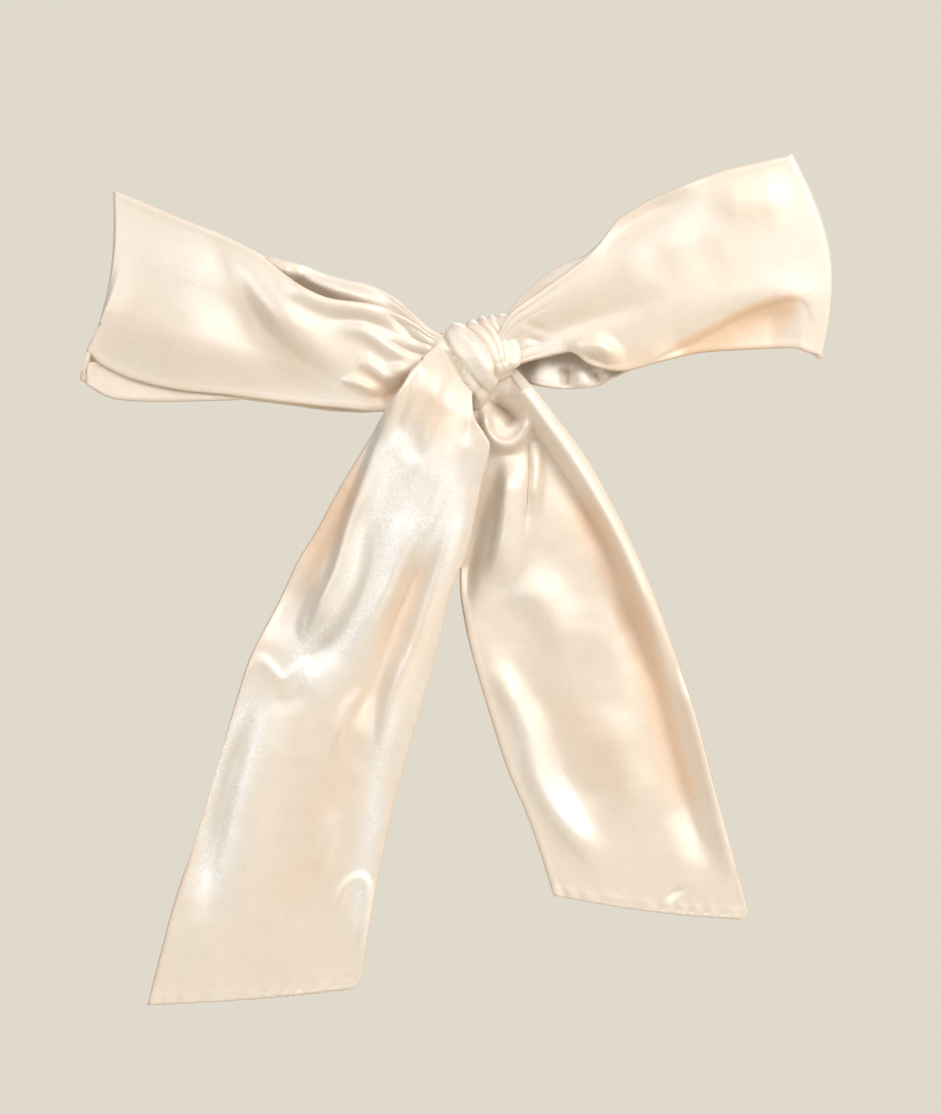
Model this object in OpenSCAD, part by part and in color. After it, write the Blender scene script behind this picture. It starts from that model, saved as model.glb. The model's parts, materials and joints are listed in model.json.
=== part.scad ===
// A satin sash bow on a spring barrette.
// X runs along the barrette, Z is up as the bow is worn, and the bow faces -Y.
// The origin is the middle of the gap that the hair passes through.

/* [Sash] */
// Width of the finished sash that makes the loops and the tails
sash_w = 52; // [40:1:64]
// Thickness of one leaf of sash, two plies sewn face to face
sash_t = 1.4; // [1:0.1:2]
// Reach of the left loop from the middle of the knot
left_loop_reach = 106; // [80:1:130]
// Reach of the right loop from the middle of the knot
right_loop_reach = 94; // [75:1:120]
// Depth of an open loop, from its front leaf to its back leaf
loop_depth = 17; // [12:0.5:20]
// Drop of the left tail from its pivot to its lowest corner
left_tail_drop = 163; // [110:1:200]
// Drop of the right tail from its pivot to its lowest corner
right_tail_drop = 135; // [95:1:170]
// How far a tail leans back between its pivot and its hem
tail_lean = 3; // [1:0.5:4]
// Radius of the thread knot at the right loop's lower corner
corner_tack_r = 1.1; // [0.8:0.1:1.5]

/* [Knot] */
// Width of the knot, along the barrette
knot_w = 23; // [19:0.5:28]
// Height of the knot
knot_h = 25; // [21:0.5:30]
// Depth of the knot before its back is pressed flat
knot_d = 21; // [18:0.5:25]
// Thickness of the pleated wrap
wrap_t = 3; // [2:0.1:3.5]
// How much of the wrap's back is pressed flat
back_flat = 1.5; // [1:0.1:1.8]
// Chamfer at the knot's corners
knot_chamfer = 3; // [1:0.5:4]
// Diameter of the sewing thread
thread_d = 0.6; // [0.4:0.1:0.8]
// Turns of thread round the gathered sash
thread_turns = 5; // [3:1:7]
// Stitches that close the wrap
closing_stitches = 4; // [3:1:5]

/* [Barrette] */
// Distance from the hinge pin to the middle of the catch
clip_len = 74; // [68:1:90]
// Width of the base bar
base_w = 8; // [8:0.5:12]
// Thickness of the base bar
base_t = 1; // [0.8:0.1:1.4]
// Rise of the base's arch over half its length
base_arch = 8; // [7.5:0.25:9]
// Clear height between the tension spring and the arm, at the middle
hair_gap = 7.8; // [7:0.2:9]
// Clear height between the base and the tension spring, at the middle
spring_lift = 3.3; // [3:0.1:5]
// Rise of the spring's arch over half its length
spring_arch = 5.8; // [5.6:0.1:6.4]
// Thickness of the tension spring
spring_t = 0.5; // [0.4:0.1:0.8]
// Free end of the tension spring, from the middle
spring_end = 19; // [14:1:22]
// Width of the clasp arm
arm_w = 5.6; // [5:0.2:6.4]
// Thickness of the clasp arm
arm_t = 1.2; // [1:0.1:1.4]
// Radius of the hinge pin
pin_r = 0.8; // [0.6:0.1:0.9]
// Radius of the rolled knuckles and the ears round the pin
knuckle_r = 1.8; // [1.7:0.1:2]
// Width of the arm's knuckle
knuckle_w = 3.2; // [2.6:0.1:3.4]
// Thickness of each hinge ear
ear_t = 1; // [0.8:0.1:1.2]
// Thickness of the catch tabs
tab_t = 0.8; // [0.6:0.1:1]
// How far the finger wings of the catch stand out
wing_w = 2.5; // [2:0.5:4]
// Radius of the sewing holes
sew_hole_r = 0.7; // [0.6:0.1:0.9]
// Height of the barrette above the middle of the bow
clip_rise = 3; // [0:0.5:4]
// Distance between the two pairs of sewing holes
sew_pitch = 16; // [14:1:18]

/* [Felt pad] */
// Width of the felt pad
felt_w = 21; // [20:1:28]
// Height of the felt pad
felt_h = 10; // [8:1:14]
// Thickness of the felt pad at its middle
felt_t = 1.5; // [1:0.1:2.5]

/* [Clearances] */
// Gap between soft pieces that move past each other
soft_gap = 0.5; // [0.4:0.1:1]
// Gap between the gathered sash and the wrap that holds it
core_gap = 0.1; // [0.05:0.05:0.3]
// Radial gap of a knuckle that turns on the pin
pin_gap = 0.04; // [0.02:0.01:0.08]
// Side gap between hinge knuckles and between the catch tabs and the arm
side_gap = 0.2; // [0.1:0.05:0.3]

/* [Hidden] */
$fn = 48;
ARCH_FN = 300;

satin = [0.93, 0.86, 0.77];
satin_shade = [0.84, 0.76, 0.66];
thread_color = [0.90, 0.84, 0.74];
steel = [0.80, 0.79, 0.76];

// Depths, from the hair gap forwards.
spring_back_y = -hair_gap / 2 - 0.3;
spring_front_y = spring_back_y - spring_t;
base_back_y = spring_front_y - spring_lift;
base_front_y = base_back_y - base_t;
wrap_back_y = base_front_y - felt_t;
knot_y = wrap_back_y - knot_d / 2 + back_flat;
bow_z = -clip_rise;
knot_z = bow_z - 1.2;

// Barrette geometry.
function arch_radius(half, rise) = (half * half + rise * rise) / (2 * rise);
function arch_y(x, radius, middle_y) = middle_y + radius - sqrt(radius * radius - x * x);
arm_front_y = spring_back_y + hair_gap;
arm_back_y = arm_front_y + arm_t;
pin_x = -clip_len / 2 - 0.5;
pin_y = arm_back_y - knuckle_r;
catch_x = pin_x + clip_len;
base_half = clip_len / 2 - 1.5;
base_back_r = arch_radius(base_half, base_arch);
base_front_r = base_back_r + base_t;
base_centre_y = base_back_y + base_back_r;
base_end_x = catch_x + 2;
base_hinge_x = pin_x + 2.8;
spring_back_r = arch_radius(clip_len / 2 - 2.5, spring_arch);
spring_centre_y = spring_back_y + spring_back_r;
eye_r = knuckle_r - 0.3;
eye_w = base_w / 2 - ear_t - knuckle_w / 2 - 2 * side_gap;
tab_len = 2;
waist_half = arm_w / 2 - tab_t - side_gap;
tab_foot_y = arch_y(catch_x + tab_len / 2, base_back_r, base_back_y) + 2 * side_gap;

// Where the soft parts leave the knot.
neck_r = 3;
loop_hinge_x = knot_w / 2 + soft_gap + neck_r;
left_tail_y = knot_y - knot_d / 2 - sash_t / 2 - soft_gap;
left_tail_z = knot_z - knot_h * 0.31;
right_tail_y = knot_y - 1.5;
right_tail_z = knot_z - knot_h / 2 - soft_gap - sash_t;

// Front outlines as [share of the loop's length, share of the sash's width].
LEFT_LOOP_EDGE = [[0.08, 0.30], [0.27, 0.42], [0.49, 0.55], [0.73, 0.73], [0.90, 0.86],
                  [0.93, 0.31], [1.00, -0.11], [0.86, -0.20], [0.57, -0.19], [0.24, -0.25],
                  [0.11, -0.26]];
RIGHT_LOOP_EDGE = [[0.03, 0.36], [0.21, 0.59], [0.29, 0.73], [0.54, 0.92], [0.86, 1.04],
                   [0.94, 0.73], [1.00, 0.42], [0.99, 0.12], [0.95, 0.03], [0.85, 0.07],
                   [0.54, 0.04], [0.27, -0.07], [0.23, -0.12], [0.09, -0.14]];
// Tail outlines as [share of the sash's width, share of the tail's drop].
LEFT_TAIL_EDGE = [[-0.40, 0.00], [-0.58, 0.09], [-0.83, 0.22], [-1.12, 0.40], [-1.21, 0.48],
                  [-1.33, 0.60], [-1.56, 0.84], [-1.69, 1.00], [-0.64, 0.97], [-0.60, 0.957],
                  [-0.59, 0.91], [-0.46, 0.68], [-0.28, 0.48], [-0.18, 0.34], [-0.12, 0.295],
                  [-0.07, 0.26], [-0.01, 0.14], [0.04, 0.09], [-0.04, 0.04], [-0.05, 0.00]];
RIGHT_TAIL_EDGE = [[0.08, 0.00], [0.08, 0.06], [0.04, 0.12], [-0.03, 0.26], [-0.05, 0.33],
                   [-0.04, 0.39], [0.01, 0.52], [0.15, 0.69], [0.31, 0.85], [0.385, 0.94],
                   [0.43, 0.95], [0.83, 0.98], [1.30, 1.00], [1.375, 0.98], [1.30, 0.87],
                   [1.09, 0.58], [0.88, 0.34], [0.665, 0.165], [0.53, 0.07], [0.385, 0.00]];
RIGHT_LOWER_CORNER = RIGHT_LOOP_EDGE[8];

function smooth(t) = let (u = min(max(t, 0), 1)) u * u * (3 - 2 * u);

// Half the depth of a loop at a share s of its length: a narrow neck, a full middle, a round end.
function loop_half(s) =
    let (full_at = 0.6, round_at = 0.85)
    (neck_r + (loop_depth / 2 - neck_r) * smooth(s / full_at))
    * (s < round_at ? 1 : sqrt(max(0, 1 - pow((s - round_at) / (1 - round_at), 2))));

function ring_points(xs, halves) =
    concat([for (i = [0 : len(xs) - 1]) [xs[i], -halves[i]]],
           [for (i = [len(xs) - 1 : -1 : 0]) [xs[i], halves[i]]]);

function ellipse(half_y, half_z, steps = 60) =
    [for (i = [0 : steps - 1]) [half_y * cos(360 * i / steps), half_z * sin(360 * i / steps)]];

// A closed band of sash that leaves the knot towards +X, seen from above.
module loop_plan(length) {
    shares = [for (i = [0 : 30]) 0.5 - 0.5 * cos(180 * i / 30)];
    inner_length = length - sash_t;
    inner_start = 0.12;
    inner_shares = [for (s = shares) inner_start + (1 - inner_start) * s];
    difference() {
        union() {
            circle(r = neck_r);
            polygon(ring_points([for (s = shares) s * length], [for (s = shares) loop_half(s)]));
        }
        polygon(ring_points([for (s = inner_shares) s * inner_length],
                            [for (s = inner_shares) max(0.05, loop_half(s) - sash_t)]));
    }
}

// The front outline of a loop, with its neck at the knot.
module loop_front(length, edge) {
    neck_x = -neck_r - 1;
    polygon(concat([[neck_x, -knot_h * 0.22], [neck_x, edge[0][1] * sash_w * 0.65]],
                   [for (p = edge) [p[0] * length, p[1] * sash_w]]));
}

module loop(length, edge) {
    span = 3 * sash_w;
    translate([loop_hinge_x, knot_y, bow_z])
        intersection() {
            translate([0, 0, -span / 2])
                linear_extrude(height = span)
                    loop_plan(length);
            rotate([90, 0, 0])
                linear_extrude(height = 2 * loop_depth, center = true)
                    loop_front(length, edge);
        }
}

module left_loop() {
    color(satin)
        mirror([1, 0, 0])
            loop(left_loop_reach - loop_hinge_x, LEFT_LOOP_EDGE);
}

module right_loop() {
    color(satin)
        loop(right_loop_reach - loop_hinge_x, RIGHT_LOOP_EDGE);
}

// A small thread knot on the front leaf's lower outer corner.
module corner_tack() {
    share = RIGHT_LOWER_CORNER[0];
    leaf_y = knot_y - loop_half(share) + sash_t / 2;
    corner_x = loop_hinge_x + share * (right_loop_reach - loop_hinge_x);
    color(thread_color)
        translate([corner_x, leaf_y, bow_z + RIGHT_LOWER_CORNER[1] * sash_w - corner_tack_r])
            sphere(r = corner_tack_r);
}

// A tail seen from the side: a strip that leans back a little and then hangs.
module tail_side(drop) {
    steps = 16;
    lean = [for (i = [0 : steps]) tail_lean * smooth(i / steps / 0.4)];
    circle(r = sash_t / 2);
    polygon(concat([for (i = [0 : steps]) [lean[i] - sash_t / 2, -drop * i / steps]],
                   [for (i = [steps : -1 : 0]) [lean[i] + sash_t / 2, -drop * i / steps]]));
}

module tail(drop, edge) {
    span = 5 * sash_w;
    top = [[edge[len(edge) - 1][0] * sash_w, sash_t], [edge[0][0] * sash_w, sash_t]];
    intersection() {
        translate([-span / 2, 0, 0])
            rotate([90, 0, 90])
                linear_extrude(height = span)
                    tail_side(drop);
        rotate([90, 0, 0])
            linear_extrude(height = 4 * loop_depth, center = true)
                polygon(concat(top, [for (p = edge) [p[0] * sash_w, -p[1] * drop]]));
    }
}

module left_tail() {
    color(satin)
        translate([0, left_tail_y, left_tail_z])
            tail(left_tail_drop, LEFT_TAIL_EDGE);
}

module right_tail() {
    color(satin)
        translate([0, right_tail_y, right_tail_z])
            tail(right_tail_drop, RIGHT_TAIL_EDGE);
}

// An extrusion along X of an outline in Y and Z, centred on the knot.
module along_knot(length) {
    translate([0, knot_y, knot_z])
        rotate([90, 0, 90])
            linear_extrude(height = length, center = true)
                children();
}

// The pleated wrap: a closed band round the gathered sash, flat where it meets the felt.
module knot_wrap() {
    half_w = knot_w / 2;
    half_h = knot_h / 2;
    color(satin)
        difference() {
            intersection() {
                along_knot(knot_w)
                    polygon(ellipse(knot_d / 2, half_h));
                translate([0, 0, knot_z])
                    rotate([90, 0, 0])
                        linear_extrude(height = 5 * knot_d, center = true)
                            polygon([[-half_w + knot_chamfer, -half_h], [half_w - knot_chamfer, -half_h],
                                     [half_w, -half_h + 2 * knot_chamfer],
                                     [half_w, half_h - 2 * knot_chamfer],
                                     [half_w - knot_chamfer, half_h], [-half_w + knot_chamfer, half_h],
                                     [-half_w, half_h - 2 * knot_chamfer],
                                     [-half_w, -half_h + 2 * knot_chamfer]]);
                translate([-knot_w, wrap_back_y - 2 * knot_d, -2 * knot_h])
                    cube([2 * knot_w, 2 * knot_d, 4 * knot_h]);
            }
            along_knot(2 * knot_w)
                polygon(ellipse(knot_d / 2 - wrap_t, half_h - wrap_t));
        }
}

core_half_y = knot_d / 2 - wrap_t - core_gap;
core_half_z = knot_h / 2 - wrap_t - core_gap;
thread_pitch = thread_d * 1.3;
thread_band_w = thread_turns * thread_pitch + thread_d;

// The sash where it is pinched, with a waist that the gathering thread is wound in.
module gathered_core() {
    pleats = 14;
    pleat_depth = 0.35;
    steps = pleats * 6;
    color(satin_shade)
        difference() {
            along_knot(knot_w - 2 * knot_chamfer)
                polygon([for (i = [0 : steps - 1])
                         let (a = 360 * i / steps, dip = pleat_depth * (1 - cos(a * pleats)) / 2)
                         [(core_half_y - dip) * cos(a), (core_half_z - dip) * sin(a)]]);
            difference() {
                along_knot(thread_band_w)
                    square([4 * core_half_y, 4 * core_half_z], center = true);
                along_knot(2 * thread_band_w)
                    polygon(ellipse(core_half_y - thread_d - 0.4, core_half_z - thread_d - 0.4));
            }
        }
}

module gathering_thread() {
    seat_y = core_half_y - thread_d - 0.4;
    seat_z = core_half_z - thread_d - 0.4;
    color(thread_color)
        for (i = [0 : thread_turns - 1])
            translate([(i - (thread_turns - 1) / 2) * thread_pitch, 0, 0])
                difference() {
                    along_knot(thread_d)
                        polygon(ellipse(seat_y + thread_d, seat_z + thread_d));
                    along_knot(2 * thread_d)
                        polygon(ellipse(seat_y, seat_z));
                }
}

// Whip stitches across the wrap's end, under the back of the knot.
module closing_stitch_row() {
    around = -50;
    stitch_len = 3;
    row_w = knot_w - 2 * knot_chamfer - 4;
    surface_y = knot_d / 2 * cos(around);
    surface_z = knot_h / 2 * sin(around);
    slope = atan2(knot_h * cos(around), -knot_d * sin(around));
    color(thread_color)
        for (i = [0 : closing_stitches - 1])
            translate([(i / (closing_stitches - 1) - 0.5) * row_w, knot_y + surface_y, knot_z + surface_z])
                rotate([slope, 0, 0])
                    translate([0, 0, -thread_d / 2])
                        rotate([90, 0, 0])
                            cylinder(h = stitch_len, r = thread_d / 2, center = true);
}

// A felt cushion between the flat back of the knot and the arched base.
module felt_pad() {
    color(satin_shade)
        difference() {
            translate([0, 0, -felt_h / 2])
                linear_extrude(height = felt_h)
                    difference() {
                        translate([-felt_w / 2, wrap_back_y])
                            square([felt_w, 2 * felt_t + 2]);
                        translate([0, base_centre_y])
                            circle(r = base_front_r, $fn = ARCH_FN);
                    }
            sewing_holes();
        }
}

module sewing_holes() {
    for (side = [-1, 1], up = [-1, 1])
        translate([side * sew_pitch / 2, 0, up * base_w * 0.28])
            rotate([90, 0, 0])
                cylinder(h = 8 * knot_d, r = sew_hole_r, center = true);
}

// A strip bent to an arch, between two places along X.
module arched_strip(back_r, thickness, centre_y, from_x, to_x, width) {
    translate([0, 0, -width / 2])
        linear_extrude(height = width)
            intersection() {
                translate([0, centre_y])
                    difference() {
                        circle(r = back_r + thickness, $fn = ARCH_FN);
                        circle(r = back_r, $fn = ARCH_FN);
                    }
                translate([from_x, centre_y - 2 * back_r])
                    square([to_x - from_x, 2 * back_r]);
            }
}

// The sewn-on bar, with two hinge ears and four sewing holes.
module barrette_base() {
    ear_from = base_hinge_x + 1;
    color(steel)
        difference() {
            union() {
                arched_strip(base_back_r, base_t, base_centre_y, base_hinge_x, base_end_x, base_w);
                for (up = [-1, 1])
                    translate([0, 0, up * (base_w - ear_t) / 2 - ear_t / 2])
                        linear_extrude(height = ear_t)
                            hull() {
                                translate([pin_x, pin_y])
                                    circle(r = knuckle_r);
                                translate([ear_from, arch_y(ear_from, base_front_r, base_front_y) + 0.5])
                                    square([1, base_t - 0.2]);
                            }
            }
            translate([pin_x, pin_y, 0])
                cylinder(h = 2 * base_w, r = pin_r, center = true);
            sewing_holes();
        }
}

// Two thread bars over the back of the base, with legs through the sewing holes.
module mounting_stitches() {
    leg_z = base_w * 0.28;
    bar_y = arch_y(sew_pitch / 2 + thread_d / 2, base_back_r, base_back_y) + thread_d / 2;
    color(thread_color)
        for (side = [-1, 1])
            translate([side * sew_pitch / 2, 0, 0]) {
                translate([0, bar_y, 0])
                    cylinder(h = 2 * leg_z, r = thread_d / 2, center = true);
                for (up = [-1, 1])
                    translate([0, bar_y, up * leg_z]) {
                        sphere(r = thread_d / 2);
                        rotate([90, 0, 0])
                            cylinder(h = bar_y - wrap_back_y, r = thread_d / 2);
                    }
            }
}

module hinge_pin() {
    color(steel)
        translate([pin_x, pin_y, 0])
            cylinder(h = base_w, r = pin_r, center = true);
}

// The arm that closes behind the hair: a knuckle, a flat bar, and a waist that the catch grips.
module clasp_arm() {
    bar_from = pin_x + knuckle_r + side_gap;
    tip = catch_x + 2.5;
    waist_from = catch_x - tab_len / 2 - side_gap;
    waist_to = catch_x + tab_len / 2 + side_gap;
    color(steel)
        difference() {
            union() {
                translate([pin_x, pin_y, 0])
                    cylinder(h = knuckle_w, r = knuckle_r, center = true);
                translate([pin_x, arm_front_y, -knuckle_w / 2])
                    cube([bar_from - pin_x + 1, arm_t, knuckle_w]);
                translate([bar_from, arm_front_y, -arm_w / 2])
                    cube([tip - bar_from, arm_t, arm_w]);
            }
            translate([pin_x, pin_y, 0])
                cylinder(h = 2 * knuckle_w, r = pin_r + pin_gap, center = true);
            for (up = [0, 1])
                mirror([0, 0, up])
                    translate([waist_from, arm_front_y - 1, waist_half])
                        cube([waist_to - waist_from, arm_t + 2, arm_w]);
        }
}

// The arched strip that presses on the hair, with two eyes on the hinge pin.
module tension_spring() {
    strip_w = knuckle_w + 2 * side_gap + 2 * eye_w;
    color(steel)
        difference() {
            union() {
                arched_strip(spring_back_r, spring_t, spring_centre_y, pin_x + 0.5, spring_end, strip_w);
                translate([pin_x, pin_y, 0])
                    cylinder(h = strip_w, r = eye_r, center = true);
            }
            translate([pin_x, pin_y, 0])
                cylinder(h = 2 * strip_w, r = pin_r + pin_gap, center = true);
            translate([pin_x - 2 * knuckle_r, pin_y - 4 * knuckle_r, -knuckle_w / 2 - side_gap])
                cube([3 * knuckle_r + 2 * side_gap, 8 * knuckle_r, knuckle_w + 2 * side_gap]);
        }
}

// A spring tab that grips the arm's waist, with a finger wing.
module catch_tab() {
    tab_z = waist_half + side_gap / 2;
    wing_y = arm_front_y - 0.9;
    translate([catch_x - tab_len / 2, tab_foot_y, tab_z])
        cube([tab_len, arm_back_y - 0.1 - tab_foot_y, tab_t]);
    translate([catch_x - tab_len / 2, wing_y, tab_z])
        cube([tab_len, 0.6, tab_t + wing_w]);
}

module catch_upper() {
    color(steel)
        catch_tab();
}

module catch_lower() {
    color(steel)
        mirror([0, 0, 1])
            catch_tab();
}

left_loop();
right_loop();
corner_tack();
left_tail();
right_tail();
knot_wrap();
gathered_core();
gathering_thread();
closing_stitch_row();
felt_pad();
barrette_base();
mounting_stitches();
hinge_pin();
clasp_arm();
tension_spring();
catch_upper();
catch_lower();
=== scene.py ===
"""A satin sash bow on a spring barrette: the fabric, thread, felt and metal that dress the frame."""

import json
import math

import bmesh
import bpy
import numpy as np
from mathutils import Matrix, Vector, noise


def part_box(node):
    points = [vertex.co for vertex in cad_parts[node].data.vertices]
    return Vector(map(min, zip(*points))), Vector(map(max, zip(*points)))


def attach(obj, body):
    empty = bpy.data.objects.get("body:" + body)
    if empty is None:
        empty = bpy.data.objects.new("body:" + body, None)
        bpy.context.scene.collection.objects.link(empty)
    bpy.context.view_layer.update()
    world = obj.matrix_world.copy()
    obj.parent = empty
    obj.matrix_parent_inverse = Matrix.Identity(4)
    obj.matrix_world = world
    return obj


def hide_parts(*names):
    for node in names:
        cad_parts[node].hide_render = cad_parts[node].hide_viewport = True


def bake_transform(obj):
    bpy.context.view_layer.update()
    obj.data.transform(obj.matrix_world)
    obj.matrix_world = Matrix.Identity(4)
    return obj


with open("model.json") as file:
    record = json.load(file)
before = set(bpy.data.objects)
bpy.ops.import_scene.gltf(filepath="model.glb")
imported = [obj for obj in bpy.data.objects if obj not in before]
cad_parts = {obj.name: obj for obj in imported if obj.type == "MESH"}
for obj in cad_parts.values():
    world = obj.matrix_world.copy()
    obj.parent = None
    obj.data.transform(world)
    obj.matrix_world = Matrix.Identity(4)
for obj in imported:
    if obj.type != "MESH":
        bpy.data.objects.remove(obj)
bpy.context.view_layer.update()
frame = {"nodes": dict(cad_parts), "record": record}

MM = 0.001

# Places that the frame gives, in metres.
KNOT_LOW, KNOT_HIGH = (Vector(c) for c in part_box("knot_wrap"))
JOINTS = {j["name"]: j for j in frame["record"]["behaviour"]["joints"]}
LEFT_LOOP_PIVOT = Vector(JOINTS["left_loop_flex"]["pos_m"])

# The bow's own drawing plane: millimetres right (x) and up (z) from the middle of the knot.
BOW_Y = LEFT_LOOP_PIVOT.y / MM
BOW_Z = (KNOT_LOW.z + KNOT_HIGH.z) / 2 / MM + 1.2

SASH_THICKNESS = 0.9
WRAP_THICKNESS = 0.8


# ---------------------------------------------------------------- camera

VIEW_WIDTH = 0.2503
VIEW_CENTRE = Vector((-0.0025, BOW_Y * MM, BOW_Z * MM - 0.0524))
CAMERA_DISTANCE = 1.5
CLIP_NEAR, CLIP_FAR = 0.05, 20
SENSOR = 36.0


def make_camera():
    data = bpy.data.cameras.new("camera")
    data.sensor_fit = "HORIZONTAL"
    data.sensor_width = SENSOR
    data.lens = SENSOR * CAMERA_DISTANCE / VIEW_WIDTH
    data.clip_start = CLIP_NEAR
    data.clip_end = CLIP_FAR
    camera = bpy.data.objects.new("camera", data)
    camera.location = VIEW_CENTRE - Vector((0, CAMERA_DISTANCE, 0))
    camera.rotation_euler = (math.pi / 2, 0, 0)
    bpy.context.scene.collection.objects.link(camera)
    bpy.context.scene.camera = camera


# ---------------------------------------------------------------- materials


class Nodes:
    """A short way to write a node material."""

    def __init__(self, name):
        self.material = bpy.data.materials.new(name)
        self.material.use_nodes = True
        self.tree = self.material.node_tree
        self.shader = self.tree.nodes["Principled BSDF"]

    def add(self, kind, **values):
        node = self.tree.nodes.new(kind)
        for key, value in values.items():
            if key in node.inputs:
                node.inputs[key].default_value = value
            else:
                setattr(node, key, value)
        return node

    def link(self, out, into):
        self.tree.links.new(out, into)

    def set(self, **values):
        for key, value in values.items():
            self.shader.inputs[key.replace("_", " ")].default_value = value

    def noise(self, coordinates, scale, detail=2.0, roughness=0.5):
        node = self.add("ShaderNodeTexNoise", Scale=scale, Detail=detail, Roughness=roughness)
        self.link(coordinates, node.inputs["Vector"])
        return node.outputs["Fac"]

    def math(self, operation, *values):
        node = self.add("ShaderNodeMath", operation=operation)
        for socket, value in zip(node.inputs, values):
            if isinstance(value, bpy.types.NodeSocket):
                self.link(value, socket)
            else:
                socket.default_value = value
        return node.outputs[0]

    def clamped(self, value):
        node = self.add("ShaderNodeClamp")
        self.link(value, node.inputs["Value"])
        return node.outputs[0]

    def ramp(self, factor, stops):
        node = self.add("ShaderNodeValToRGB")
        elements = node.color_ramp.elements
        while len(elements) < len(stops):
            elements.new(0.5)
        for element, (place, color) in zip(elements, stops):
            element.position = place
            element.color = (*color, 1)
        self.link(factor, node.inputs["Fac"])
        return node.outputs["Color"]

    def mix(self, factor, a, b, blend="MIX"):
        node = self.add("ShaderNodeMix", data_type="RGBA", blend_type=blend)
        for socket, value in ((node.inputs[0], factor), (node.inputs[6], a), (node.inputs[7], b)):
            if isinstance(value, bpy.types.NodeSocket):
                self.link(value, socket)
            elif isinstance(value, tuple):
                socket.default_value = (*value, 1)
            else:
                socket.default_value = value
        return node.outputs[2]

    def bump(self, height, distance, strength=1.0, normal=None):
        node = self.add("ShaderNodeBump", Strength=strength, Distance=distance)
        self.link(height, node.inputs["Height"])
        if normal is not None:
            self.link(normal, node.inputs["Normal"])
        return node.outputs["Normal"]


# The satin's noises, in repeats per metre, from the broadest to the finest.
CLOUD, GLINT_PATCH, GLOSS_PATCH, SLUB, MOTTLE = 45.0, 110.0, 300.0, 700.0, 800.0
SPARKLE, GLINT, GRAIN = 1300.0, 1500.0, 2600.0

# The height of each part of the satin's relief, in metres.
YARN_HEIGHT, GRAIN_HEIGHT, SLUB_HEIGHT, SPARKLE_HEIGHT = 0.00002, 0.00004, 0.00005, 0.00012

# Painted highlight, painted sheen and painted shade: the white of the painted glints, the darkening of
# the deepest painted sheen, and the darker painted shade along the folded edges.
WHITE_GLINT = (1.0, 0.985, 0.965)
DEEP_PAINTED_SHEEN = (0.84, 0.82, 0.79)
PAINTED_EDGE_SHADE = (0.93, 0.90, 0.84)


def times(color, factors):
    return tuple(c * f for c, f in zip(color, factors))


def grey(value):
    return (value,) * 3


def satin_color(m, place, uv, painted_light, painted_sheen, body, painted_shade_color, painted_sheen_color):
    """The cloth's colour with light painted in: above 0 a warm painted shade, below 0 a silver painted
    sheen, then a deeper one.
    """
    # Painted shade and painted sheen, each drifting a little at random over the cloth.
    cloud = m.math("MULTIPLY_ADD", m.noise(place, CLOUD, 3.0, 0.6), 0.5, -0.25)
    shift = m.math("ADD", painted_light, cloud)
    color = m.mix(m.clamped(shift), body, painted_shade_color)
    color = m.mix(m.clamped(m.math("MULTIPLY", shift, -1.0)), color, painted_sheen_color)
    deep = m.clamped(m.math("SUBTRACT", m.math("MULTIPLY", painted_light, -1.0), 1.0))
    color = m.mix(deep, color, times(painted_sheen_color, DEEP_PAINTED_SHEEN))
    # Painted shade: a darker, warmer band along both long edges.
    across = m.add("ShaderNodeSeparateXYZ")
    m.link(uv, across.inputs["Vector"])
    from_middle = m.math("ABSOLUTE", m.math("SUBTRACT", across.outputs["X"], 0.5))
    edge = m.ramp(from_middle, [(0.478, grey(0)), (0.498, grey(0.35))])
    color = m.mix(edge, color, times(painted_shade_color, PAINTED_EDGE_SHADE))
    # Painted highlight: white glints scattered over the painted sheen.
    patch = m.noise(place, GLINT_PATCH, 3.0, 0.6)
    density = m.math("MULTIPLY_ADD", patch, 0.4, m.math("MULTIPLY", painted_sheen, 0.22))
    glints = m.math("SUBTRACT", m.math("ADD", m.noise(place, GLINT, 2.0, 0.6), density), 0.5)
    painted_glints = m.ramp(glints, [(0.36, grey(0)), (0.52, grey(0.85))])
    shown = m.math("MULTIPLY", painted_sheen, m.math("SUBTRACT", 1.0, deep))
    color = m.mix(m.math("MULTIPLY", painted_glints, shown), color, WHITE_GLINT)
    mottle = m.ramp(m.noise(place, MOTTLE, 4.0, 0.7), [(0.30, (0.955, 0.95, 0.94)), (0.70, grey(1))])
    return m.mix(1.0, color, mottle, "MULTIPLY")


def satin_relief(m, place, uv, painted_sheen):
    """The weave's yarns, grain and slubs, and the uneven floats where the sheen is painted."""
    threads = m.add("ShaderNodeMapping", vector_type="POINT", Scale=(52.0, 170.0, 1.0))
    m.link(uv, threads.inputs["Vector"])
    warp = m.add("ShaderNodeTexWave", Scale=2.4, Distortion=1.2, Detail=1.0, bands_direction="X")
    m.link(threads.outputs["Vector"], warp.inputs["Vector"])
    weft = m.add("ShaderNodeTexWave", Scale=1.6, Distortion=0.8, Detail=1.0, bands_direction="Y")
    m.link(threads.outputs["Vector"], weft.inputs["Vector"])
    normal = m.bump(warp.outputs["Fac"], YARN_HEIGHT, 0.35)
    normal = m.bump(weft.outputs["Fac"], YARN_HEIGHT, 0.2, normal)
    normal = m.bump(m.noise(place, GRAIN, 2.0, 0.7), GRAIN_HEIGHT, 0.5, normal)
    normal = m.bump(m.noise(place, SLUB, 3.0, 0.6), SLUB_HEIGHT, 0.5, normal)
    sparkle = m.math("MULTIPLY", m.noise(place, SPARKLE, 4.0, 0.8), painted_sheen)
    return m.bump(sparkle, SPARKLE_HEIGHT, 0.8, normal)


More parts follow.
